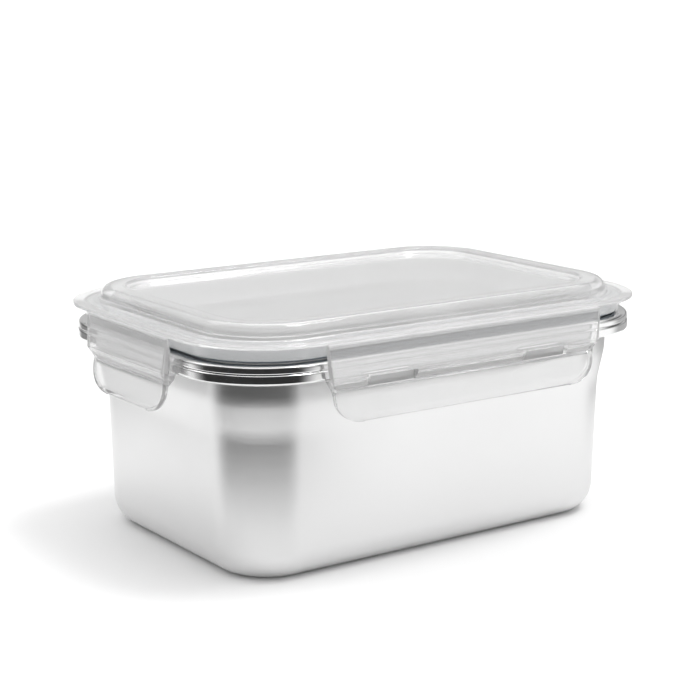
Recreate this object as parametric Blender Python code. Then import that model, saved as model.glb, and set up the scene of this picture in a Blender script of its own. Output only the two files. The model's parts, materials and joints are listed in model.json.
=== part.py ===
"""Rectangular clip-lid lunch box: a drawn steel tub with a rolled rim, a clear
moulded lid with a raised border, a sealing ring in the lid's channel and four
hinged side latches.

Frame: origin at the centre of the base, +X along the long side, +Y along the
short side, +Z up. "Inset" means distance inward from the steel rim's outer
edge, and "out" means distance outward from it.
"""
import math

import bmesh
import bpy
from mathutils import Matrix, Vector

MM = 0.001
ROOT = "lunch_box"
MAX_REACH = 0.45            # share of a straight that one rounded corner may take

# rolled steel rim, which sets the plan size
RIM_HALF_X = 107.0
RIM_HALF_Y = 75.0
RIM_CORNER_R = 36.1
CORNER_RATE = 0.77          # how much of each mm of inset the corner radius loses
CORNER_STEPS = 8

# steel tub
STEEL_T = 0.8
FLOOR_INSET = 23.0
FILLET_Z = 12.0
WALL_DRAFT = 1.2            # extra inset gained from the fillet to the shoulder
SHOULDER_LOW_Z = 58.5
SHOULDER_TOP_Z = 72.0
SHOULDER_DEPTH = 2.6
SHOULDER_R = 30.0
BAND_INSET = 9.0            # upright band under the rim
LEDGE_Z = 88.0              # flat ledge that the seal presses on
LEDGE_R = 1.2
UPPER_BEAD_INSET = 0.25
CREASE_Z = 84.85            # groove between the rim's two beads
CREASE_INSET = 0.7
CREASE_HALF_H = 0.7
CREASE_R = 0.5
RIM_LOW_Z = 80.7
CURL_R = 0.8
CURL_INSET = 3.0

# clear lid
LID_T = 1.5
EDGE_R = 0.4                # usual rounding of a moulded edge
FLANGE_OUT = 1.7
FLANGE_LOW_Z = 94.5
BORDER_FOOT_INSET = 8.1
BORDER_STEP_H = 1.4
BORDER_LIP = 0.8            # small shelf at the top of the border's step
CREST_OUTER_INSET = 12.6
CREST_INNER_INSET = 18.4
CREST_Z = 101.9
CREST_START = 15.0          # angle at which the border's round flank leaves the step
RECESS_INSET = 19.6
RECESS_Z = 99.6
SKIRT_INSET = 2.8
SKIRT_T = 1.2
SKIRT_LEAN = 0.6
SKIRT_LOW_Z = 89.3
CHANNEL_TOP_Z = 94.3
PLUG_INSET = 10.6
PLUG_T = 1.3
PLUG_LOW_Z = 84.3
PLUG_ROOT_Z = 98.6

# sealing ring
SEAL_CLEAR = 0.3
SEAL_BODY_LOW_Z = 90.5
SEAL_LIP_W = 1.5
SEAL_LIP_RISE = 1.2

# latches
HINGE_OUT = 2.5
HINGE_Z = 94.2
BEAD_R = 0.55
PANEL_TOP_OUT = 3.35
PANEL_LOW_OUT = 4.4
PANEL_LOW_Z = 81.2
PANEL_INNER_OUT = 1.1
PANEL_INNER_TOP_Z = 90.5
PANEL_R = 2.0
WAIST_OUT = 2.3
WAIST_Z = 77.2
WAIST_R = 1.0
TAB_LOW_Z = 64.2
TAB_FLARE = 1.3
TAB_FLARE_H = 3.0
TAB_T = 1.8
HOOK_Z = 80.3
HOOK_REACH = 2.3            # how far the hook goes in past the rim's outer edge
HOOK_LOW_Z = 77.6
HOOK_DROP = 2.2             # height of the hook's sloping underside
WINDOW_LOW_Z = 76.9
WINDOW_TOP_Z = 80.5
WINDOW_DEPTH_OUT = 0.9      # face of the hook seen at the back of each window
WINDOW_CUT = 8.0
LONG_HALF = 67.8
SHORT_HALF = 32.4
END_TAPER = 1.6             # each end draws in by this much down to the hook
WAIST_NOTCH = 3.7           # each end draws in by this much at the waist
NOTCH_R = 0.8
TAB_END = 3.5               # each end of the tab stands in by this much
TAB_CORNER_W = 12.5
TAB_CORNER_H = 9.8
WINDOWS = (-38.2, 38.2)      # middles of a long latch's windows
WINDOW_W = 23.0
OUTLINE_DEPTH = 12.0        # half depth of the block that trims a latch to its outline
END_SPARE = 1.0             # extra length trimmed off each end of a latch
WELD = 0.00001              # metres

MATERIALS = {
    "steel": ((0.62, 0.63, 0.64, 1.0), 0.3, 1.0),
    "clear_plastic": ((0.86, 0.88, 0.89, 1.0), 0.2, 0.0),
    "latch_plastic": ((0.84, 0.86, 0.87, 1.0), 0.3, 0.0),
    "silicone": ((0.55, 0.62, 0.66, 1.0), 0.5, 0.0),
}


def clear_scene():
    for obj in list(bpy.data.objects):
        bpy.data.objects.remove(obj, do_unlink=True)


def make_collection(name):
    coll = bpy.data.collections.new(name)
    bpy.context.scene.collection.children.link(coll)
    return coll


def make_material(name, key):
    colour, rough, metal = MATERIALS[key]
    mat = bpy.data.materials.new(name)
    mat.use_nodes = True
    bsdf = mat.node_tree.nodes["Principled BSDF"]
    bsdf.inputs["Base Color"].default_value = colour
    bsdf.inputs["Roughness"].default_value = rough
    bsdf.inputs["Metallic"].default_value = metal
    return mat


def arc(cx, cz, rx, rz, start, end, steps):
    """Points on an ellipse, angles in degrees."""
    out = []
    for i in range(steps + 1):
        a = math.radians(start + (end - start) * i / steps)
        out.append((cx + rx * math.cos(a), cz + rz * math.sin(a)))
    return out


def fillet(corners, steps, closed=False):
    """Round each (x, z, radius) corner of a path with an arc."""
    path = []
    for i, (x, z, radius) in enumerate(corners):
        is_end = not closed and i in (0, len(corners) - 1)
        if is_end or radius <= 0:
            path.append((x, z))
            continue
        here = Vector((x, z))
        before = Vector(corners[i - 1][:2]) - here
        after = Vector(corners[(i + 1) % len(corners)][:2]) - here
        half_turn = before.angle(after) / 2
        reach = min(radius / math.tan(half_turn), MAX_REACH * min(before.length, after.length))
        middle = (before.normalized() + after.normalized()).normalized()
        centre = here + middle * (reach / math.cos(half_turn))
        start = here + before.normalized() * reach - centre
        sweep = start.angle_signed(here + after.normalized() * reach - centre)
        for k in range(steps + 1):
            turned = start.copy()
            turned.rotate(Matrix.Rotation(-sweep * k / steps, 2))
            path.append(tuple(centre + turned))
    return path


def offset_path(points, dist):
    """Move an open path sideways by dist, to the left of its direction."""
    out = []
    last = len(points) - 1
    for i, point in enumerate(points):
        before = Vector(points[max(i - 1, 0)])
        after = Vector(points[min(i + 1, last)])
        here = Vector(point)
        dir_in = (here - before).normalized() if i > 0 else (after - here).normalized()
        dir_out = (after - here).normalized() if i < last else dir_in
        bisector = (dir_in + dir_out).normalized()
        normal = Vector((-bisector.y, bisector.x))
        stretch = 1.0 / max(bisector.dot(dir_in), 0.5)
        moved = here + normal * dist * stretch
        out.append((moved.x, moved.y))
    return out


def corner_radius(out):
    return RIM_CORNER_R + CORNER_RATE * min(out, 0.0) + max(out, 0.0)


def ring_points(out, z):
    """Rounded rectangle at one height, anticlockwise from +X."""
    radius = corner_radius(out)
    cx = RIM_HALF_X + out - radius
    cy = RIM_HALF_Y + out - radius
    points = []
    for quarter, (sx, sy) in enumerate(((1, 1), (-1, 1), (-1, -1), (1, -1))):
        for i in range(CORNER_STEPS + 1):
            a = math.radians(90.0 * (quarter + i / CORNER_STEPS))
            x = sx * cx + radius * math.cos(a)
            y = sy * cy + radius * math.sin(a)
            points.append(Vector((x, y, z)) * MM)
    return points


def loft(name, section, capped):
    """Carry a section of (out, z) points round the rounded rectangle.

    A capped loft closes its first and last rings with flat faces. An uncapped
    one joins its last ring to its first.
    """
    bm = bmesh.new()
    rings = []
    for out, z in section:
        rings.append([bm.verts.new(p) for p in ring_points(out, z)])
    count = len(rings[0])
    pairs = list(zip(rings, rings[1:]))
    if not capped:
        pairs.append((rings[-1], rings[0]))
    for low, high in pairs:
        for i in range(count):
            j = (i + 1) % count
            bm.faces.new((low[i], low[j], high[j], high[i]))
    if capped:
        bm.faces.new(rings[0])
        bm.faces.new(rings[-1])
    bmesh.ops.recalc_face_normals(bm, faces=bm.faces[:])
    mesh = bpy.data.meshes.new(name)
    bm.to_mesh(mesh)
    bm.free()
    return bpy.data.objects.new(name, mesh)


def finish_object(obj, coll, mat, angle=35.0):
    coll.objects.link(obj)
    obj.data.materials.clear()
    obj.data.materials.append(mat)
    obj.data.shade_smooth()
    obj.data.set_sharp_from_angle(angle=math.radians(angle))
    return obj


def tub_section():
    """Closed sheet section from the outer floor round the rim to the inner floor."""
    half = STEEL_T / 2
    band = -(BAND_INSET + half)
    below = band - SHOULDER_DEPTH
    low = below - WALL_DRAFT
    floor = -FLOOR_INSET
    ledge = LEDGE_Z - half
    upper = -(UPPER_BEAD_INSET + half)
    curl = RIM_LOW_Z + half
    path = arc(floor, FILLET_Z, low - floor, FILLET_Z - half, -90.0, 0.0, 8)
    path += fillet([
        (low, FILLET_Z, 0), (below, SHOULDER_LOW_Z, SHOULDER_R),
        (band, SHOULDER_TOP_Z, SHOULDER_R), (band, ledge, LEDGE_R), (upper, ledge, LEDGE_R),
        (upper, CREASE_Z + CREASE_HALF_H, CREASE_R), (-(CREASE_INSET + half), CREASE_Z, 0),
        (-half, CREASE_Z - CREASE_HALF_H, CREASE_R), (-half, curl, CURL_R),
        (-CURL_INSET, curl, 0)], 3)[1:]
    outer = offset_path(path, -half)
    inner = offset_path(path, half)
    outer[0] = (floor, 0.0)
    inner[0] = (floor, STEEL_T)
    return outer + inner[::-1]


def lid_section():
    """Section from the recess underside out to the flange edge and back over the top."""
    top = FLANGE_LOW_Z + LID_T
    edge = FLANGE_OUT
    foot = -BORDER_FOOT_INSET
    crest = -CREST_OUTER_INSET
    inner = -CREST_INNER_INSET
    recess = -RECESS_INSET
    step = top + BORDER_STEP_H
    lip = foot - BORDER_LIP
    plug = -PLUG_INSET
    plug_in = plug - PLUG_T
    skirt = -SKIRT_INSET
    skirt_in = skirt - SKIRT_T
    under = RECESS_Z - LID_T
    crest_under = CREST_Z - LID_T
    below = fillet([
        (recess - LID_T, under, 0), (recess + LID_T, under, 0), (inner + LID_T, crest_under, 0),
        (crest, crest_under, 0), (plug_in, PLUG_ROOT_Z, 0), (plug_in, PLUG_LOW_Z, EDGE_R),
        (plug, PLUG_LOW_Z, EDGE_R), (plug, CHANNEL_TOP_Z, 0), (skirt_in, CHANNEL_TOP_Z, 0),
        (skirt_in - SKIRT_LEAN, SKIRT_LOW_Z, EDGE_R), (skirt - SKIRT_LEAN, SKIRT_LOW_Z, EDGE_R),
        (skirt, FLANGE_LOW_Z, 0), (edge, FLANGE_LOW_Z, EDGE_R), (edge, top, EDGE_R),
        (foot, top, 0), (foot, step, EDGE_R), (lip, step, 0)], 1)
    flank = arc(crest, step, lip - crest, CREST_Z - step, CREST_START, 90.0, 4)
    over = fillet([
        (crest, CREST_Z, 0), (inner, CREST_Z, LID_T), (recess, RECESS_Z, LID_T),
        (recess - LID_T, RECESS_Z, 0)], 2)[1:]
    return below + flank + over


def seal_section():
    """Body filling the channel, with two lips pressed towards the steel ledge."""
    outer = -(SKIRT_INSET + SKIRT_T + SKIRT_LEAN + SEAL_CLEAR)
    inner = -(PLUG_INSET - SEAL_CLEAR)
    top = CHANNEL_TOP_Z - SEAL_CLEAR
    low = LEDGE_Z + SEAL_CLEAR
    lip_low = low + SEAL_LIP_RISE
    return [
        (outer, top), (inner, top), (inner, lip_low), (inner + SEAL_LIP_W / 2, lip_low),
        (inner + SEAL_LIP_W, SEAL_BODY_LOW_Z), (outer - 2 * SEAL_LIP_W, SEAL_BODY_LOW_Z),
        (outer - SEAL_LIP_W, low), (outer - SEAL_LIP_W / 2, low),
        (outer, SEAL_BODY_LOW_Z - EDGE_R)]


def latch_section():
    """Closed (out, z) section of a latch hanging shut, hinge bead at the top."""
    bead = arc(HINGE_OUT, HINGE_Z, BEAD_R, BEAD_R, -30.0, 210.0, 8)
    tab_out = WAIST_OUT + TAB_FLARE
    tab_in = tab_out - TAB_T + EDGE_R
    rest = fillet([
        (HINGE_OUT - BEAD_R, HINGE_Z, 0), (HINGE_OUT - BEAD_R, HINGE_Z - 1.0, 0),
        (PANEL_INNER_OUT, PANEL_INNER_TOP_Z, PANEL_R), (PANEL_INNER_OUT, HOOK_Z, EDGE_R),
        (-HOOK_REACH, HOOK_Z, EDGE_R), (-HOOK_REACH, HOOK_LOW_Z, EDGE_R),
        (WAIST_OUT - TAB_T, HOOK_LOW_Z - HOOK_DROP, PANEL_R), (tab_in, TAB_LOW_Z, EDGE_R),
        (tab_out, TAB_LOW_Z, EDGE_R), (tab_out, TAB_LOW_Z + TAB_FLARE_H, PANEL_R),
        (WAIST_OUT, WAIST_Z, WAIST_R), (PANEL_LOW_OUT, PANEL_LOW_Z, WAIST_R),
        (PANEL_TOP_OUT, HINGE_Z - 2.0, PANEL_R), (HINGE_OUT + BEAD_R, HINGE_Z, 0)], 2)
    return bead + rest[1:-1]


def prism(name, outline, half, along, across):
    """Extrude a closed outline both ways by half; the outline lies in along-Z."""
    curve = bpy.data.curves.new(name, "CURVE")
    curve.dimensions = "2D"
    curve.fill_mode = "BOTH"
    curve.extrude = half * MM
    spline = curve.splines.new("POLY")
    spline.points.add(len(outline) - 1)
    for point, (u, z) in zip(spline.points, outline):
        point.co = (u * MM, z * MM, 0.0, 1.0)
    spline.use_cyclic_u = True
    obj = bpy.data.objects.new(name, curve)
    basis = Matrix((along, (0, 0, 1), across)).transposed().to_4x4()
    obj.matrix_world = basis
    return obj


def to_mesh_object(obj, coll):
    """Turn a curve or a modified object into a plain mesh with its transform applied."""
    coll.objects.link(obj)
    bpy.context.view_layer.update()
    graph = bpy.context.evaluated_depsgraph_get()
    mesh = bpy.data.meshes.new_from_object(obj.evaluated_get(graph))
    mesh.transform(obj.matrix_world)
    bm = bmesh.new()
    bm.from_mesh(mesh)
    bmesh.ops.remove_doubles(bm, verts=bm.verts[:], dist=WELD)
    bmesh.ops.recalc_face_normals(bm, faces=bm.faces[:])
    bm.to_mesh(mesh)
    bm.free()
    name = obj.name
    coll.objects.unlink(obj)
    bpy.data.objects.remove(obj, do_unlink=True)
    return bpy.data.objects.new(name, mesh)


def latch_outline(half):
    """Front view of a latch: tapered panel, notched waist, round-cornered tab."""
    low = half - END_TAPER
    waist = half - WAIST_NOTCH
    tab = half - TAB_END
    corner_z = TAB_LOW_Z + TAB_CORNER_H
    right = fillet([
        (half, HINGE_Z + 2.0, 0), (half, HINGE_Z - 1.0, 0), (low, PANEL_LOW_Z, NOTCH_R),
        (waist, WAIST_Z, NOTCH_R), (tab, corner_z, 0)], 2)
    right += arc(tab - TAB_CORNER_W, corner_z, TAB_CORNER_W, TAB_CORNER_H + EDGE_R,
                 0.0, -90.0, 8)[1:]
    left = [(-x, z) for x, z in reversed(right)]
    return right + left


def cutter_box(name, centre, size, coll):
    bm = bmesh.new()
    bmesh.ops.create_cube(bm, size=1.0)
    bmesh.ops.scale(bm, vec=Vector(size) * MM, verts=bm.verts[:])
    bmesh.ops.translate(bm, vec=Vector(centre) * MM, verts=bm.verts[:])
    mesh = bpy.data.meshes.new(name)
    bm.to_mesh(mesh)
    bm.free()
    obj = bpy.data.objects.new(name, mesh)
    return hide_cutter(obj, coll)


def hide_cutter(obj, coll):
    coll.objects.link(obj)
    obj.hide_render = True
    obj.display_type = "WIRE"
    return obj


def add_boolean(obj, cutter, operation):
    mod = obj.modifiers.new(operation.lower() + "_" + cutter.name, "BOOLEAN")
    mod.operation = operation
    mod.solver = "EXACT"
    mod.object = cutter
    mod.show_viewport = True
    mod.show_render = True


def build_latch(side, half, windows, coll, cutters, mat):
    """Build one latch on its side of the box, with its origin on the hinge axis."""
    dirs = {"front": (0, -1), "back": (0, 1), "left": (-1, 0), "right": (1, 0)}
    ox, oy = dirs[side]
    rim = RIM_HALF_Y if oy else RIM_HALF_X
    outward = Vector((ox, oy, 0))
    along = Vector((-oy, ox, 0))
    base = outward * rim
    section = [(rim + out, z) for out, z in latch_section()]
    name = "latch_" + side
    body = prism(name, section, half + END_SPARE, outward, along)
    body = to_mesh_object(body, coll)
    outline = prism(name + "_outline", latch_outline(half), OUTLINE_DEPTH, along, outward)
    outline = to_mesh_object(outline, cutters)
    outline.data.transform(Matrix.Translation(base * MM))
    hide_cutter(outline, cutters)
    add_boolean(body, outline, "INTERSECT")
    height = WINDOW_TOP_Z - WINDOW_LOW_Z
    for i, pos in enumerate(windows):
        centre = base + outward * (WINDOW_DEPTH_OUT + WINDOW_CUT / 2) + along * pos
        centre.z = (WINDOW_TOP_Z + WINDOW_LOW_Z) / 2
        size = [abs(along[k]) * WINDOW_W + abs(outward[k]) * WINDOW_CUT for k in range(3)]
        size[2] = height
        box = cutter_box("%s_window_%d" % (name, i), centre, size, cutters)
        add_boolean(body, box, "DIFFERENCE")
    hinge = base + outward * HINGE_OUT
    hinge.z = HINGE_Z
    body.data.transform(Matrix.Translation(-hinge * MM))
    body.matrix_world = Matrix.Translation(hinge * MM)
    return finish_object(body, coll, mat)


def main():
    clear_scene()
    parts = make_collection(ROOT)
    cutters = make_collection(ROOT + "_cutters")
    steel = make_material("steel", "steel")
    clear = make_material("clear_plastic", "clear_plastic")
    silicone = make_material("silicone", "silicone")
    finish_object(loft("container", tub_section(), True), parts, steel)
    finish_object(loft("lid", lid_section(), True), parts, clear)
    finish_object(loft("gasket", seal_section(), False), parts, silicone)
    for side in ("front", "back", "left", "right"):
        is_long = side in ("front", "back")
        half = LONG_HALF if is_long else SHORT_HALF
        windows = WINDOWS if is_long else ()
        mat = make_material("latch_plastic_" + side, "latch_plastic")
        build_latch(side, half, windows, parts, cutters, mat)


main()
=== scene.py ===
"""Looks for the clip-lid lunch box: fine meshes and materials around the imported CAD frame.

Lengths are in millimetres until a mesh is made. "Out" means distance outward from the steel
rim's outer edge, so the tub's walls have a negative out.
"""

import json
import math

import bmesh
import bpy
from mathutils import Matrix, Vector


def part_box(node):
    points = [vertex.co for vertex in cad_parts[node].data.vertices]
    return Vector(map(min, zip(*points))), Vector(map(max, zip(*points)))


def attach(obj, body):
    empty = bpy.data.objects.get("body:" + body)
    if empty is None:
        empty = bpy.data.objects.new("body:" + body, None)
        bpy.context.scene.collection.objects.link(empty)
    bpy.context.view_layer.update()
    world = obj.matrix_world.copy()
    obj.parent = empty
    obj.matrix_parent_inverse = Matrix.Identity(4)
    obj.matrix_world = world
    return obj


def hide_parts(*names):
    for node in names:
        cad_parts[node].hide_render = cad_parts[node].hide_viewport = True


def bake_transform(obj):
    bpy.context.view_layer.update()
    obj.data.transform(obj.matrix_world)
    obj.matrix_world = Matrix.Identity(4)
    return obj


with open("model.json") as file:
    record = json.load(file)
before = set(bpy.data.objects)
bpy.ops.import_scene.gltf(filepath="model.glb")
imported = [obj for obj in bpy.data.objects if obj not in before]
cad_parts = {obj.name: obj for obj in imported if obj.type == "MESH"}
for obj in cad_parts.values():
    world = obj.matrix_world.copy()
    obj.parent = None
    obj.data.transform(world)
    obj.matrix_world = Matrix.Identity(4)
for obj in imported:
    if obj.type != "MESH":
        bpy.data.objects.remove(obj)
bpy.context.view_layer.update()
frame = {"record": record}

MM = 0.001
MAX_REACH = 0.48            # share of a straight that one rounded corner may take
SHARP_ANGLE = 50.0          # degrees; edges that turn more than this stay sharp


def mm_box(node):
    low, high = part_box(node)
    return low / MM, high / MM


TUB_HIGH = mm_box("container")[1]
LID_LOW, LID_HIGH = mm_box("lid")
SEAL_LOW, SEAL_HIGH = mm_box("gasket")
FRONT_LOW, FRONT_HIGH = mm_box("latch_front")
LEFT_HIGH = mm_box("latch_left")[1]

# plan of the rolled rim
RIM_HALF_X = TUB_HIGH.x
RIM_HALF_Y = TUB_HIGH.y
RIM_CORNER_R = 36.1
CORNER_RATE = 0.77          # how much of each mm of inset the corner radius loses
TUB_CORNER_RATE = 0.9       # the same rate for the tub, whose corners are a little tighter
CORNER_STEPS = 20

# tub, from the base up; insets run inward from the rim's outer edge
SHEET_T = 0.8
FLOOR_INSET = 23.0
FILLET_Z = 12.0
WALL_DRAFT = 1.2            # extra inset gained from the fillet to the shoulder
BAND_INSET = 9.0
SHOULDER_LOW_Z = 58.5
SHOULDER_TOP_Z = 72.0
SHOULDER_DEPTH = 2.6
SHOULDER_LOW_R = 45.0
SHOULDER_TOP_R = 30.0
RIM_LOW_Z = 80.7
CREASE_Z = 84.85
CREASE_INSET = 0.75
CREASE_HALF_H = 0.7
CURL_INSET = 3.0
LEDGE_Z = TUB_HIGH.z

# lid
LID_T = 1.5
FLANGE_OUT = LID_HIGH.x - RIM_HALF_X
FLANGE_LOW_Z = 94.5
BORDER_FOOT = -8.1
BORDER_STEP_H = 1.4
CREST_OUTER = -12.6
CREST_INNER = -18.4
CREST_Z = LID_HIGH.z
RECESS_EDGE = -19.6
RECESS_Z = frame["record"]["mounts"][1]["pos_m"][2] / MM
SKIRT_OUT = -2.8
SKIRT_LEAN = 0.6
SKIRT_T = 1.2
SKIRT_LOW_Z = 89.3
PLUG_OUT = -10.6
PLUG_T = 1.3
PANEL_EXTENT = 6.0          # flat strip inward of the last curve, before the flat cap
GROOVE_Z = 0.3              # fine groove in the flange along the border's foot
LIP_OUT = 0.95              # small shelf at the top of the border's step
LIP_RISE = 0.1
CREST_FLAT = 1.0
BULL_START = 8.0            # angle at which the border's round flank leaves the step
LID_SHARP_ANGLE = 70.0

# seal
SEAL_BODY_LOW_Z = 90.5
SEAL_CLEAR = 0.3
SEAL_LIP_RISE = 1.2
SEAL_LIP_W = 1.5

# latches
HINGE_OUT = 2.5
HINGE_Z = 94.2
PANEL_LOW_OUT = 4.4
PANEL_LOW_Z = 81.2
PANEL_INNER_OUT = 1.1
WAIST_OUT = 2.3
WAIST_Z = 77.2
TAB_LOW_Z = FRONT_LOW.z
TAB_FLARE = 1.3
TAB_T = 1.8
HOOK_Z = 80.3
HOOK_LOW_Z = 77.6
HOOK_REACH = 2.3
HOOK_DROP = 2.2             # height of the hook's sloping underside
TOP_HALF_T = 0.55           # half thickness of a latch's top edge
TOP_RISE = 0.15
PANEL_TOP_DROP = 2.2
TAB_FLARE_H = 3.0
LONGEST_EDGE = 0.8
END_TAPER = 1.6
WAIST_NOTCH = 3.7
TAB_END = 3.5
TAB_CORNER_W = 12.5
TAB_CORNER_H = 9.8
TAB_FOOT_SPARE = 0.15       # keeps the tab's corner curve from running to its very end
NOTCH_EASE = 0.6            # height over which the waist's notch begins and ends
END_ROUND = 0.45
SOFT_EDGE = 0.2
SOFT_ANGLE = 40.0           # edges that turn less than this aren't softened
LATCH_SHARP_ANGLE = 55.0
BORDER_W = 1.5              # raised border round the tab
BORDER_RISE = 0.25
WINDOW_LOW_Z = 76.9
WINDOW_TOP_Z = 81.4
WINDOW_BACK = 0.9
WINDOW_DEPTH = 9.0
WINDOW_R = 0.9
WINDOW_FLAT = 0.05          # how near its plane a window's back face has to lie
WINDOW_SQUARE = 0.99        # and how nearly it has to face outward
FILM_HALF_T = 0.22
FILM_END = 0.6              # the film stops this far short of each end of its latch
WINDOWS = (-38.2, 38.2)     # middles of a long latch's windows
WINDOW_W = 23.0

# finishes
SATIN_GREY = 0.74
RIM_GREY = 0.76
SILICONE_COLOUR = (0.10, 0.12, 0.135, 1)
SILICONE_DEPTH = 0.002      # metres that light travels in the silicone
PLASTIC_IOR = 1.49
CLOUD_LOW = 0.3             # the part of a soft noise's range that carries its changes
CLOUD_HIGH = 0.7
GRAIN_SCALE = 900.0
GRAIN_STRETCH = (0.12, 0.12, 1)
GRAIN_DEPTH = 0.00003       # metres
GRAIN_STRENGTH = 0.6
BRUSHING = 0.2
QUARTER_TURN = 0.25         # of a full turn, as the anisotropic rotation counts

# floor, in metres
FLOOR_HALF = 20.0
FLOOR_DROP = 0.0002
FLOOR_GREY = 0.90

# world: brightness at each height of a direction, from the horizon to overhead
# and the directions of the back, of the dimmer front left and of the softbox
BRIGHT_STOPS = ((0.0, 1.0), (0.5, 1.05), (0.7, 2.0))
DARK_STOPS = ((0.0, 0.85), (0.28, 0.75), (0.4, 0.15), (0.6, 0.12), (0.7, 2.0))
BACK_WAY = (0.57, 0.80, 0.0)
FRONT_LEFT_WAY = (-0.82, -0.57, 0.1)
SOFTBOX_WAY = (-0.25, 0.82, 0.60)

# black cards in the studio, in metres and degrees
CARD_FADE = 0.35            # share of a card's height over which its top fades away
CARD_STEPS = 32
CARD_ROWS = 8
CARD_BLACK = 0.04

# sun lamp
SUN_TOWARD = (0.42, -0.20, 1.0)
SUN_SPREAD = 22.0           # degrees
SUN_STRENGTH = 1.05

# camera, in metres and degrees
CAMERA_SPOT = (-0.42067, -0.59223, 0.2266)
CAMERA_AZIMUTH = -35.19
CAMERA_ELEVATION = 12.06
CAMERA_LENS = 89.48
CAMERA_SENSOR = 36.0
CAMERA_NEAR = 0.01


# ---------------------------------------------------------------- outlines

def arc(cx, cz, rx, rz, start, end, steps):
    """Points on an ellipse, angles in degrees."""
    out = []
    for i in range(steps + 1):
        a = math.radians(start + (end - start) * i / steps)
        out.append((cx + rx * math.cos(a), cz + rz * math.sin(a)))
    return out


def fillet(corners, steps, closed=False):
    """Round each (out, z, radius) corner of a path with an arc."""
    count = len(corners)
    path = []
    for i, (x, z, radius) in enumerate(corners):
        at_end = not closed and i in (0, count - 1)
        here = Vector((x, z))
        if at_end or radius <= 0:
            path.append((x, z))
            continue
        before = Vector(corners[i - 1][:2]) - here
        after = Vector(corners[(i + 1) % count][:2]) - here
        half_turn = before.angle(after) / 2
        reach = min(radius / math.tan(half_turn),
                    MAX_REACH * before.length, MAX_REACH * after.length)
        true_r = reach * math.tan(half_turn)
        middle = (before.normalized() + after.normalized()).normalized()
        centre = here + middle * (true_r / math.sin(half_turn))
        start = here + before.normalized() * reach - centre
        end = here + after.normalized() * reach - centre
        sweep = start.angle_signed(end) * -1.0
        for k in range(steps + 1):
            a = sweep * k / steps
            x2 = start.x * math.cos(a) - start.y * math.sin(a)
            z2 = start.x * math.sin(a) + start.y * math.cos(a)
            path.append((centre.x + x2, centre.y + z2))
    return path


def offset_path(points, dist):
    """Move an open path sideways by dist, to the left of its direction."""
    out = []
    last = len(points) - 1
    for i, point in enumerate(points):
        here = Vector(point)
        before = Vector(points[max(i - 1, 0)])
        after = Vector(points[min(i + 1, last)])
        dir_in = (here - before).normalized() if i > 0 else (after - here).normalized()
        dir_out = (after - here).normalized() if i < last else dir_in
        bisector = (dir_in + dir_out).normalized()
        moved = here + Vector((-bisector.y, bisector.x)) * dist / max(bisector.dot(dir_in), 0.5)
        out.append((moved.x, moved.y))
    return out


def resample(points, longest):
    """Cut every stretch of a closed path that is longer than longest."""
    out = []
    for i, point in enumerate(points):
        a = Vector(point)
        b = Vector(points[(i + 1) % len(points)])
        cuts = max(1, math.ceil((b - a).length / longest))
        out += [tuple(a.lerp(b, k / cuts)) for k in range(cuts)]
    return out


def ease(t):
    """Smooth step from 0 to 1."""
    t = min(max(t, 0.0), 1.0)
    return t * t * (3 - 2 * t)


# ---------------------------------------------------------------- meshes

def ring_points(out, z, rate=CORNER_RATE):
    """Rounded rectangle at one height, anticlockwise from +X."""
    radius = RIM_CORNER_R + rate * min(out, 0.0) + max(out, 0.0)
    cx = RIM_HALF_X + out - radius
    cy = RIM_HALF_Y + out - radius
    points = []
    for quarter, (sx, sy) in enumerate(((1, 1), (-1, 1), (-1, -1), (1, -1))):
        for i in range(CORNER_STEPS + 1):
            a = math.radians(90.0 * (quarter + i / CORNER_STEPS))
            points.append(Vector((sx * cx + radius * math.cos(a),
                                  sy * cy + radius * math.sin(a), z)) * MM)
    return points


def finish_mesh(bm, name, sharp=SHARP_ANGLE):
    bmesh.ops.recalc_face_normals(bm, faces=bm.faces[:])
    mesh = bpy.data.meshes.new(name)
    bm.to_mesh(mesh)
    bm.free()
    mesh.shade_smooth()
    mesh.set_sharp_from_angle(angle=math.radians(sharp))
    obj = bpy.data.objects.new(name, mesh)
    bpy.context.scene.collection.objects.link(obj)
    return obj


def loft(name, section, capped, sharp=SHARP_ANGLE, rate=CORNER_RATE):
    """Carry a section of (out, z) points round the rounded rectangle.

    A capped loft closes its first and last rings with flat faces. An uncapped one joins its
    last ring to its first.
    """
    bm = bmesh.new()
    rings = [[bm.verts.new(p) for p in ring_points(out, z, rate)] for out, z in section]
    pairs = list(zip(rings, rings[1:]))
    if not capped:
        pairs.append((rings[-1], rings[0]))
    count = len(rings[0])
    for low, high in pairs:
        for i in range(count):
            j = (i + 1) % count
            bm.faces.new((low[i], low[j], high[j], high[i]))
    if capped:
        bm.faces.new(rings[0])
        bm.faces.new(rings[-1])
    return finish_mesh(bm, name, sharp)


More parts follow.
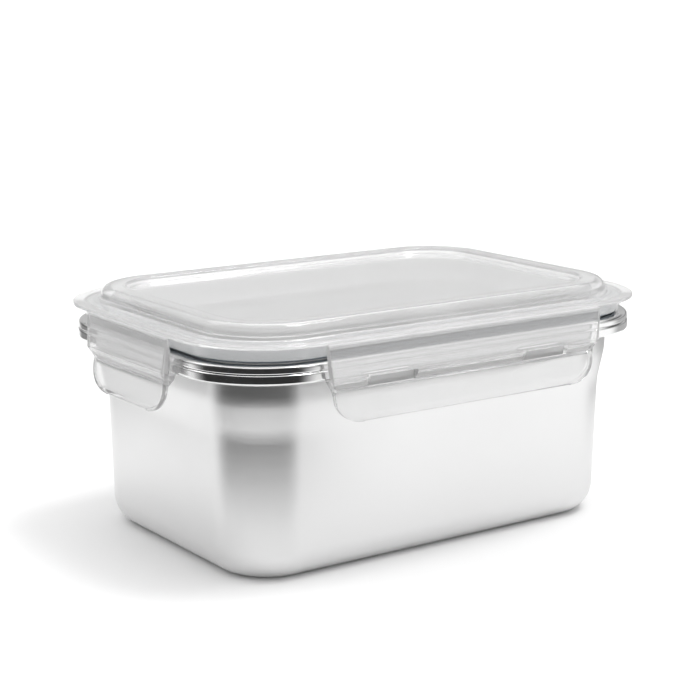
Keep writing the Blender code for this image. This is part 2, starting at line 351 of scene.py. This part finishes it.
def tub_section():
    """Sheet section from the outer floor up, round the rolled rim and back down inside."""
    half = SHEET_T / 2
    band = -(BAND_INSET + half)
    below = band - SHOULDER_DEPTH
    low = below - WALL_DRAFT
    floor = -FLOOR_INSET
    path = [(floor - PANEL_EXTENT, half), (floor - 0.5, half)]
    path += arc(floor, FILLET_Z, low - floor, FILLET_Z - half, -90.0, 0.0, 14)
    ledge = LEDGE_Z - half
    upper = fillet([
        (low, FILLET_Z, 0), (below, SHOULDER_LOW_Z, SHOULDER_LOW_R),
        (band, SHOULDER_TOP_Z, SHOULDER_TOP_R), (band, RIM_LOW_Z, 0), (band, ledge, 1.3),
        (-half - 0.3, ledge, 1.1), (-half - 0.2, CREASE_Z + CREASE_HALF_H, 0.5),
        (-half - CREASE_INSET, CREASE_Z, 0.35), (-half, CREASE_Z - CREASE_HALF_H, 0.5),
        (-half, RIM_LOW_Z + half, 0.9), (-CURL_INSET, RIM_LOW_Z + half, 0)], steps=8)
    path += upper[1:]
    outer = offset_path(path, -half)
    inner = offset_path(path, half)
    return outer + inner[::-1]


def lid_section():
    """Section from the recess underside out to the flange edge and back over the top."""
    top = FLANGE_LOW_Z + LID_T
    step = top + BORDER_STEP_H
    under = RECESS_Z - LID_T
    plug_in = PLUG_OUT - PLUG_T
    skirt_in = SKIRT_OUT - SKIRT_T
    ceiling = FLANGE_LOW_Z - 0.2
    lip = BORDER_FOOT - LIP_OUT
    lip_z = step + LIP_RISE
    below = fillet([
        (RECESS_EDGE - PANEL_EXTENT, under, 0), (RECESS_EDGE + 0.6, under, 1.6),
        (CREST_INNER + 0.6, CREST_Z - LID_T, 0.8), (CREST_OUTER - 0.2, CREST_Z - LID_T, 1.0),
        (plug_in, CREST_Z - 2.4 * LID_T, 1.2), (plug_in, LID_LOW.z, 0.5),
        (PLUG_OUT, LID_LOW.z, 0.6), (PLUG_OUT, ceiling, 0.5), (skirt_in, ceiling, 0.5),
        (skirt_in - SKIRT_LEAN, SKIRT_LOW_Z, 0.35), (SKIRT_OUT - SKIRT_LEAN, SKIRT_LOW_Z, 0.4),
        (SKIRT_OUT, FLANGE_LOW_Z, 0.5), (FLANGE_OUT, FLANGE_LOW_Z, 0.35),
        (FLANGE_OUT, top, 0.55), (BORDER_FOOT + 1.9, top, 0.1),
        (BORDER_FOOT + 1.6, top - GROOVE_Z, 0.1), (BORDER_FOOT + 1.3, top, 0.1),
        (BORDER_FOOT, top, 0.25), (BORDER_FOOT - 0.15, step, 0.25), (lip, lip_z, 0)], steps=4)
    bull = arc(CREST_OUTER, lip_z, lip - CREST_OUTER, CREST_Z - step - LIP_RISE,
               BULL_START, 90.0, 10)
    over = fillet([
        (CREST_OUTER - CREST_FLAT, CREST_Z, 0), (CREST_INNER, CREST_Z, 1.0),
        (RECESS_EDGE, RECESS_Z, 0.9), (RECESS_EDGE - PANEL_EXTENT, RECESS_Z, 0)], steps=6)
    return below + bull + over


def seal_section():
    """Closed section of the seal: a body with two lips hanging from it."""
    outer = SEAL_HIGH.x - RIM_HALF_X
    inner = PLUG_OUT + SEAL_CLEAR
    top = SEAL_HIGH.z
    low = SEAL_LOW.z
    lip_low = low + SEAL_LIP_RISE
    return fillet([
        (outer, top, 0.4), (inner, top, 0.4), (inner, lip_low, 0.3),
        (inner + 0.9, lip_low, 0.3), (inner + SEAL_LIP_W, SEAL_BODY_LOW_Z, 0.5),
        (outer - 2.4, SEAL_BODY_LOW_Z, 0.5), (outer - SEAL_LIP_W, low, 0.4), (outer, low, 0.3)],
        steps=3, closed=True)


def latch_section():
    """Closed (out, z) section of a latch hanging shut."""
    low_out = WAIST_OUT + TAB_FLARE
    return resample(fillet([
        (HINGE_OUT + TOP_HALF_T, HINGE_Z + TOP_RISE, 0.5),
        (HINGE_OUT - TOP_HALF_T, HINGE_Z + TOP_RISE, 0.5),
        (HINGE_OUT - 0.7, HINGE_Z - 1.2, 2.0), (PANEL_INNER_OUT, HINGE_Z - 3.7, 3.0),
        (PANEL_INNER_OUT, HOOK_Z, 0.6), (-HOOK_REACH, HOOK_Z, 0.5),
        (-HOOK_REACH, HOOK_LOW_Z, 0.8), (WAIST_OUT - TAB_T, HOOK_LOW_Z - HOOK_DROP, 1.5),
        (low_out - TAB_T + 0.4, TAB_LOW_Z, 0.6), (low_out, TAB_LOW_Z, 0.7),
        (low_out, TAB_LOW_Z + TAB_FLARE_H, 4.0), (WAIST_OUT, WAIST_Z, 1.2),
        (PANEL_LOW_OUT, PANEL_LOW_Z, 1.0), (HINGE_OUT + 0.85, HINGE_Z - PANEL_TOP_DROP, 3.0)],
        steps=4, closed=True), LONGEST_EDGE)


def section_normals(section):
    """Unit vectors pointing out of a closed section at each of its points."""
    normals = []
    count = len(section)
    area = sum(section[i][0] * section[(i + 1) % count][1]
               - section[(i + 1) % count][0] * section[i][1] for i in range(count))
    turn = 1.0 if area > 0 else -1.0
    for i in range(count):
        before = Vector(section[i - 1])
        after = Vector(section[(i + 1) % count])
        along = (after - before).normalized() * turn
        normals.append(Vector((along.y, -along.x)))
    return normals


def latch_half_at(half, z, inset):
    """Half length of a latch at one height: tapered panel, notched waist, rounded tab.

    The inset moves the whole outline in from the latch's end.
    """
    low = half - END_TAPER - inset
    waist = half - WAIST_NOTCH - inset
    tab = half - TAB_END - inset
    corner_z = TAB_LOW_Z + TAB_CORNER_H
    if z >= PANEL_LOW_Z + NOTCH_EASE:
        rise = (z - PANEL_LOW_Z) / (HINGE_Z - PANEL_LOW_Z)
        return low + END_TAPER * min(rise, 1.0)
    if z >= WAIST_Z - NOTCH_EASE:
        up = (z - WAIST_Z + NOTCH_EASE) / (PANEL_LOW_Z + 2 * NOTCH_EASE - WAIST_Z)
        return waist + (low - waist) * ease(up)
    if z >= corner_z:
        up = (z - corner_z) / (WAIST_Z - NOTCH_EASE - corner_z)
        return tab + (waist - tab) * ease(up)
    down = min((corner_z - z) / (TAB_CORNER_H - inset + TAB_FOOT_SPARE), 1.0)
    width = TAB_CORNER_W - inset
    return tab - width * (1.0 - math.sqrt(1.0 - down * down))


def side_frame(side):
    """Outward and along directions of one side, and the rim's distance from the centre."""
    outward = {"front": (0, -1, 0), "back": (0, 1, 0), "left": (-1, 0, 0), "right": (1, 0, 0)}
    out = Vector(outward[side])
    along = Vector((-out.y, out.x, 0))
    rim = RIM_HALF_Y if out.y else RIM_HALF_X
    return out, along, rim


def place(side, u, out, z):
    """Point in metres, u along one side, out from its rim and z up."""
    outward, along, rim = side_frame(side)
    point = outward * (rim + out) + along * u
    point.z = z
    return point * MM


def end_stations():
    """Rings from a latch's end inward: inset from the end, edge rounding, border height."""
    stations = []
    for turn in (90.0, 60.0, 30.0, 0.0):
        a = math.radians(turn)
        stations.append((END_ROUND * (1.0 - math.sin(a)), END_ROUND * (1.0 - math.cos(a)), 1.0))
    return stations + [(BORDER_W - BORDER_RISE, 0.0, 1.0), (BORDER_W, 0.0, 0.0)]


def latch_body(side, half):
    """Skin the section along its length, with both ends following the latch's outline."""
    section = latch_section()
    normals = section_normals(section)
    stations = [(-1, station) for station in end_stations()]
    stations += [(1, station) for station in reversed(end_stations())]
    bm = bmesh.new()
    rings = []
    for sign, (inset, rounding, raised) in stations:
        ring = []
        for (out, z), normal in zip(section, normals):
            border = BORDER_RISE * raised * ease(WAIST_Z - z)
            point = Vector((out, z)) + normal * (border - rounding)
            u = sign * latch_half_at(half, z, inset)
            ring.append(bm.verts.new(place(side, u, point.x, point.y)))
        rings.append(ring)
    for near, far in zip(rings, rings[1:]):
        for i in range(len(section)):
            j = (i + 1) % len(section)
            bm.faces.new((near[i], near[j], far[j], far[i]))
    caps = [bm.faces.new(rings[0]), bm.faces.new(rings[-1])]
    bmesh.ops.triangulate(bm, faces=caps, ngon_method="BEAUTY")
    return finish_mesh(bm, "latch_" + side + "_body")


def window_cutter(side, pos):
    """Rounded block that cuts a window above the hook."""
    bm = bmesh.new()
    w = WINDOW_W / 2
    outline = fillet([(-w, WINDOW_LOW_Z, WINDOW_R), (w, WINDOW_LOW_Z, WINDOW_R),
                      (w, WINDOW_TOP_Z, WINDOW_R), (-w, WINDOW_TOP_Z, WINDOW_R)],
                     steps=4, closed=True)
    near = [bm.verts.new(place(side, pos + u, WINDOW_BACK, z)) for u, z in outline]
    far = [bm.verts.new(place(side, pos + u, WINDOW_BACK + WINDOW_DEPTH, z)) for u, z in outline]
    for i in range(len(outline)):
        j = (i + 1) % len(outline)
        bm.faces.new((near[i], near[j], far[j], far[i]))
    bm.faces.new(near)
    bm.faces.new(far)
    return finish_mesh(bm, "window_cutter")


def apply_modifiers(obj):
    bpy.context.view_layer.update()
    graph = bpy.context.evaluated_depsgraph_get()
    mesh = bpy.data.meshes.new_from_object(obj.evaluated_get(graph))
    obj.modifiers.clear()
    obj.data = mesh


def cut(obj, cutter):
    mod = obj.modifiers.new("window", "BOOLEAN")
    mod.operation = "DIFFERENCE"
    mod.solver = "EXACT"
    mod.object = cutter
    apply_modifiers(obj)
    bpy.data.objects.remove(cutter, do_unlink=True)


def soften_edges(obj):
    mod = obj.modifiers.new("soften", "BEVEL")
    mod.width = SOFT_EDGE * MM
    mod.segments = 2
    mod.limit_method = "ANGLE"
    mod.angle_limit = math.radians(SOFT_ANGLE)
    mod.use_clamp_overlap = True
    apply_modifiers(obj)
    obj.data.shade_smooth()
    obj.data.set_sharp_from_angle(angle=math.radians(LATCH_SHARP_ANGLE))


def texture_and_shade_windows(obj, side):
    """Give the upright face at the back of each window the moulding's rough texture and a darker
    grey, which is painted shade in the window.
    """
    outward, _, rim = side_frame(side)
    # Material 1 is the rough window plastic whose darker grey is painted shade.
    for face in obj.data.polygons:
        out = face.center.dot(outward) / MM - rim
        in_window = WINDOW_LOW_Z < face.center.z / MM < WINDOW_TOP_Z
        flat = abs(out - WINDOW_BACK) < WINDOW_FLAT
        flat = flat and face.normal.dot(outward) > WINDOW_SQUARE
        face.material_index = 1 if in_window and flat else 0


def build_latch(side, half, windows, mat, rough_painted_shade):
    obj = latch_body(side, half)
    for pos in windows:
        cut(obj, window_cutter(side, pos))
    soften_edges(obj)
    obj.name = "moulded_latch_" + side
    obj.data.materials.clear()
    obj.data.materials.append(mat)
    obj.data.materials.append(rough_painted_shade)
    if windows:
        texture_and_shade_windows(obj, side)
    body = "latch_" + side
    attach(obj, body)
    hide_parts(body)


def build_film(side, half, mat):
    """Thin moulded web from the flange's edge to the latch's top edge."""
    centre_line = fillet([(FLANGE_OUT - 0.25, FLANGE_LOW_Z + 0.55, 0),
                          (HINGE_OUT - 0.25, HINGE_Z + 0.35, 0.5),
                          (HINGE_OUT + 0.05, HINGE_Z - 0.25, 0)], steps=6)
    section = offset_path(centre_line, FILM_HALF_T)
    section += offset_path(centre_line, -FILM_HALF_T)[::-1]
    bm = bmesh.new()
    span = half - FILM_END
    ends = [[bm.verts.new(place(side, sign * span, out, z)) for out, z in section]
            for sign in (-1, 1)]
    for i in range(len(section)):
        j = (i + 1) % len(section)
        bm.faces.new((ends[0][i], ends[0][j], ends[1][j], ends[1][i]))
    bm.faces.new(ends[0])
    bm.faces.new(ends[1])
    obj = finish_mesh(bm, "film_hinge_" + side)
    obj.data.materials.append(mat)
    place(side, 0, FLANGE_OUT, FLANGE_LOW_Z + 0.4)
    place(side, 0, HINGE_OUT, HINGE_Z - 0.1)
    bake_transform(obj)


# ---------------------------------------------------------------- materials

def new_material(name):
    mat = bpy.data.materials.new(name)
    mat.use_nodes = True
    tree = mat.node_tree
    return mat, tree, tree.nodes["Principled BSDF"]


def add(tree, kind, **inputs):
    node = tree.nodes.new(kind)
    for key, value in inputs.items():
        node.inputs[key.replace("_", " ")].default_value = value
    return node


def ramp(tree, source, low, high, low_at=0.0, high_at=1.0):
    """Map a value's range, low_at to high_at, onto the numbers from low to high."""
    node = tree.nodes.new("ShaderNodeMapRange")
    node.inputs["From Min"].default_value = low_at
    node.inputs["From Max"].default_value = high_at
    node.inputs["To Min"].default_value = low
    node.inputs["To Max"].default_value = high
    tree.links.new(source, node.inputs["Value"])
    return node.outputs["Result"]


def object_noise(tree, scale, detail, stretch=(1, 1, 1)):
    """Soft noise in the object's own space."""
    coords = tree.nodes.new("ShaderNodeTexCoord")
    mapping = tree.nodes.new("ShaderNodeMapping")
    mapping.inputs["Scale"].default_value = stretch
    noise = add(tree, "ShaderNodeTexNoise", Scale=scale, Detail=detail, Roughness=0.5)
    tree.links.new(coords.outputs["Object"], mapping.inputs["Vector"])
    tree.links.new(mapping.outputs["Vector"], noise.inputs["Vector"])
    return noise.outputs["Fac"]


def add_bump(tree, bsdf, height, distance, strength):
    bump = add(tree, "ShaderNodeBump", Distance=distance, Strength=strength)
    tree.links.new(height, bump.inputs["Height"])
    tree.links.new(bump.outputs["Normal"], bsdf.inputs["Normal"])


def grey(level):
    return (level, level, level, 1)


def roughness_between(tree, bsdf, scale, low, high):
    """Let the roughness drift softly between two values over the surface."""
    cloud = object_noise(tree, scale, detail=3.0)
    tree.links.new(ramp(tree, cloud, low, high, CLOUD_LOW, CLOUD_HIGH),
                   bsdf.inputs["Roughness"])


def brush_round_walls(tree, bsdf, amount):
    """Stretch highlights up and down, as a grain that runs round the walls does."""
    tangent = tree.nodes.new("ShaderNodeTangent")
    tangent.direction_type = "RADIAL"
    tangent.axis = "Z"
    tree.links.new(tangent.outputs["Tangent"], bsdf.inputs["Tangent"])
    bsdf.inputs["Anisotropic"].default_value = amount
    bsdf.inputs["Anisotropic Rotation"].default_value = QUARTER_TURN


def satin_steel():
    """Drawn stainless sheet with a fine satin finish."""
    mat, tree, bsdf = new_material("satin_steel")
    bsdf.inputs["Metallic"].default_value = 1.0
    bsdf.inputs["Base Color"].default_value = grey(SATIN_GREY)
    roughness_between(tree, bsdf, scale=18.0, low=0.33, high=0.38)
    grain = object_noise(tree, GRAIN_SCALE, detail=2.0, stretch=GRAIN_STRETCH)
    add_bump(tree, bsdf, grain, GRAIN_DEPTH, GRAIN_STRENGTH)
    brush_round_walls(tree, bsdf, BRUSHING)
    return mat


def polished_steel():
    """The rolled rim, burnished brighter than the walls."""
    mat, tree, bsdf = new_material("polished_steel")
    bsdf.inputs["Metallic"].default_value = 1.0
    bsdf.inputs["Base Color"].default_value = grey(RIM_GREY)
    roughness_between(tree, bsdf, scale=60.0, low=0.08, high=0.15)
    return mat


def clear_plastic(name, tint, rough, shade, milk):
    """Clear moulding. Lamps pass through it, so that what it covers stays lit.

    Shade is the share of lamp light that each surface lets through. Milk is the share of the
    plastic's light that scatters instead of passing through.
    """
    mat, tree, bsdf = new_material(name)
    bsdf.inputs["Base Color"].default_value = grey(tint)
    bsdf.inputs["Transmission Weight"].default_value = 1.0 - milk
    bsdf.inputs["IOR"].default_value = PLASTIC_IOR
    roughness_between(tree, bsdf, scale=45.0, low=rough * 0.8, high=rough * 1.25)
    path = tree.nodes.new("ShaderNodeLightPath")
    through = tree.nodes.new("ShaderNodeBsdfTransparent")
    through.inputs["Color"].default_value = grey(shade)
    mix = tree.nodes.new("ShaderNodeMixShader")
    out = tree.nodes["Material Output"]
    tree.links.new(path.outputs["Is Shadow Ray"], mix.inputs["Fac"])
    tree.links.new(bsdf.outputs["BSDF"], mix.inputs[1])
    tree.links.new(through.outputs["BSDF"], mix.inputs[2])
    tree.links.new(mix.outputs["Shader"], out.inputs["Surface"])
    return mat


def silicone():
    """Soft blue-grey rubber of the seal."""
    mat, tree, bsdf = new_material("blue_grey_silicone")
    bsdf.inputs["Base Color"].default_value = SILICONE_COLOUR
    bsdf.inputs["Subsurface Weight"].default_value = 0.3
    bsdf.inputs["Subsurface Radius"].default_value = (SILICONE_DEPTH,) * 3
    roughness_between(tree, bsdf, scale=120.0, low=0.38, high=0.5)
    return mat


# ---------------------------------------------------------------- pieces

def build_tub():
    obj = loft("steel_tub", tub_section(), True, rate=TUB_CORNER_RATE)
    obj.data.materials.append(satin_steel())
    obj.data.materials.append(polished_steel())
    limit = (RIM_LOW_Z - 0.5) * MM
    for face in obj.data.polygons:
        face.material_index = 1 if face.center.z > limit else 0
    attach(obj, "container")
    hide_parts("container")


def build_lid(mat):
    obj = loft("clear_lid", lid_section(), True, sharp=LID_SHARP_ANGLE)
    obj.data.materials.append(mat)
    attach(obj, "lid")
    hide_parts("lid")


def build_seal():
    obj = loft("seal_ring", seal_section(), False)
    obj.data.materials.append(silicone())
    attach(obj, "lid")
    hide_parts("gasket")


# ---------------------------------------------------------------- studio

def add_floor():
    """Plain floor, just below the base."""
    bm = bmesh.new()
    bmesh.ops.create_grid(bm, x_segments=1, y_segments=1, size=FLOOR_HALF)
    bmesh.ops.translate(bm, verts=bm.verts[:], vec=(0, 0, -FLOOR_DROP))
    obj = finish_mesh(bm, "floor")
    mat, _, bsdf = new_material("white_floor")
    bsdf.inputs["Base Color"].default_value = grey(FLOOR_GREY)
    bsdf.inputs["Roughness"].default_value = 0.6
    bsdf.inputs["Specular IOR Level"].default_value = 0.2
    obj.data.materials.append(mat)


def direction_facing(tree, coords, toward, low, high, low_at, high_at):
    """A number that goes from low to high as a world direction comes to point one way."""
    dot = tree.nodes.new("ShaderNodeVectorMath")
    dot.operation = "DOT_PRODUCT"
    dot.inputs[1].default_value = Vector(toward).normalized()
    tree.links.new(coords, dot.inputs[0])
    return ramp(tree, dot.outputs["Value"], low, high, low_at, high_at)


def value_ramp(tree, source, stops):
    """Grey ramp through (position, level) stops."""
    node = tree.nodes.new("ShaderNodeValToRGB")
    elements = node.color_ramp.elements
    while len(elements) > 1:
        elements.remove(elements[-1])
    elements[0].position = stops[0][0]
    elements[0].color = grey(stops[0][1])
    for pos, level in stops[1:]:
        elements.new(pos).color = grey(level)
    tree.links.new(source, node.inputs["Fac"])
    return node.outputs["Color"]


def add_world():
    """Pale studio, bright overhead, with a dark upper wall behind and a dimmer front left.

    A softbox high at the back shows in the lid.
    """
    world = bpy.data.worlds.new("studio")
    bpy.context.scene.world = world
    world.use_nodes = True
    tree = world.node_tree
    back = tree.nodes["Background"]
    coords = tree.nodes.new("ShaderNodeTexCoord").outputs["Generated"]
    split = tree.nodes.new("ShaderNodeSeparateXYZ")
    tree.links.new(coords, split.inputs["Vector"])
    height = split.outputs["Z"]
    bright = value_ramp(tree, height, BRIGHT_STOPS)
    dark = value_ramp(tree, height, DARK_STOPS)
    behind = direction_facing(tree, coords, BACK_WAY, low=0.0, high=1.0,
                              low_at=-0.1, high_at=0.35)
    mix = tree.nodes.new("ShaderNodeMix")
    mix.data_type = "RGBA"
    tree.links.new(behind, mix.inputs["Factor"])
    tree.links.new(bright, mix.inputs["A"])
    tree.links.new(dark, mix.inputs["B"])
    dim = direction_facing(tree, coords, FRONT_LEFT_WAY, low=0.77, high=0.55,
                           low_at=0.6, high_at=0.9)
    softbox = direction_facing(tree, coords, SOFTBOX_WAY, low=0.0, high=1.0,
                               low_at=0.90, high_at=0.97)
    sum_up = tree.nodes.new("ShaderNodeVectorMath")
    sum_up.operation = "ADD"
    tree.links.new(mix.outputs["Result"], sum_up.inputs[0])
    tree.links.new(softbox, sum_up.inputs[1])
    tree.links.new(sum_up.outputs["Vector"], back.inputs["Color"])
    tree.links.new(dim, back.inputs["Strength"])


def card_material(name, density):
    """Dull black card whose edges fade away, following the mesh's own fade colour."""
    mat, tree, bsdf = new_material(name)
    bsdf.inputs["Base Color"].default_value = grey(CARD_BLACK)
    bsdf.inputs["Specular IOR Level"].default_value = 0.0
    bsdf.inputs["Roughness"].default_value = 1.0
    fade = tree.nodes.new("ShaderNodeVertexColor")
    fade.layer_name = "fade"
    tree.links.new(ramp(tree, fade.outputs["Color"], 0.0, density), bsdf.inputs["Alpha"])
    return mat


def add_card(name, corner, azimuths, distance, top_z, density, soft):
    """Curved black card standing round one corner, seen only in reflections.

    The corner gives the signs of x and y. The card runs between two azimuths in degrees, at a
    distance from the middle of the rim's corner curve, and fades over "soft" degrees at each
    end.
    """
    centre = Vector((corner[0] * (RIM_HALF_X - RIM_CORNER_R),
                     corner[1] * (RIM_HALF_Y - RIM_CORNER_R), 0.0)) * MM
    first, last = azimuths
    bm = bmesh.new()
    fade = bm.verts.layers.float_color.new("fade")
    rows = []
    for j in range(CARD_ROWS + 1):
        height = top_z * j / CARD_ROWS
        row = []
        for k in range(CARD_STEPS + 1):
            azimuth = first + (last - first) * k / CARD_STEPS
            a = math.radians(azimuth)
            spot = centre + Vector((math.cos(a), math.sin(a), 0)) * distance
            spot.z = height
            vert = bm.verts.new(spot)
            side = ease(min(azimuth - first, last - azimuth) / soft)
            top = ease((top_z - height) / (CARD_FADE * top_z))
            vert[fade] = (side * top, side * top, side * top, 1.0)
            row.append(vert)
        rows.append(row)
    for low, high in zip(rows, rows[1:]):
        for k in range(CARD_STEPS):
            bm.faces.new((low[k], low[k + 1], high[k + 1], high[k]))
    obj = finish_mesh(bm, name)
    obj.data.materials.append(card_material(name, density))
    obj.visible_camera = False
    obj.visible_diffuse = False
    obj.visible_shadow = False
    obj.visible_transmission = False


def add_sun(name, toward, spread, strength):
    """Broad soft lamp, the same over the whole floor, shining from a direction."""
    light = bpy.data.lights.new(name, "SUN")
    light.angle = math.radians(spread)
    light.energy = strength
    obj = bpy.data.objects.new(name, light)
    bpy.context.scene.collection.objects.link(obj)
    obj.rotation_euler = Vector(toward).to_track_quat("Z", "Y").to_euler()


def add_studio():
    add_floor()
    add_world()
    add_card("card_near", (-1, -1), (141.0, 305.0),
             distance=0.135, top_z=0.36, density=1.0, soft=32.0)
    add_card("card_right", (1, -1), (325.0, 425.0),
             distance=0.22, top_z=0.14, density=0.6, soft=22.0)
    add_card("card_left", (-1, 1), (85.0, 160.0),
             distance=0.26, top_z=0.22, density=0.8, soft=22.0)
    add_sun("key", SUN_TOWARD, SUN_SPREAD, SUN_STRENGTH)


def add_camera():
    camera = bpy.data.cameras.new("camera")
    camera.lens = CAMERA_LENS
    camera.sensor_width = CAMERA_SENSOR
    camera.clip_start = CAMERA_NEAR
    obj = bpy.data.objects.new("camera", camera)
    bpy.context.scene.collection.objects.link(obj)
    azimuth = math.radians(CAMERA_AZIMUTH)
    elevation = math.radians(CAMERA_ELEVATION)
    back = Vector((math.sin(azimuth) * math.cos(elevation),
                   -math.cos(azimuth) * math.cos(elevation), math.sin(elevation)))
    obj.location = CAMERA_SPOT
    obj.rotation_euler = back.to_track_quat("Z", "Y").to_euler()
    bpy.context.scene.camera = obj


def main():
    bpy.context.scene.view_settings.view_transform = "Standard"
    add_camera()
    add_studio()
    clear = clear_plastic("clear_lid_plastic", 0.94, rough=0.02, shade=0.94, milk=0.25)
    milky = clear_plastic("clear_latch_plastic", 0.86, rough=0.06, shade=0.87, milk=0.2)
    # The window plastic's darker grey is painted shade; its roughness and milk are the
    # moulding's own texture.
    rough_painted_shade = clear_plastic("rough_painted_shade_latch_plastic", 0.50, rough=0.4, shade=0.85, milk=0.35)
    build_tub()
    build_lid(clear)
    build_seal()
    long_half = FRONT_HIGH.x
    short_half = LEFT_HIGH.y
    for side in ("front", "back"):
        build_latch(side, long_half, WINDOWS, milky, rough_painted_shade)
        build_film(side, long_half, milky)
    for side in ("left", "right"):
        build_latch(side, short_half, (), milky, rough_painted_shade)
        build_film(side, short_half, milky)


main()
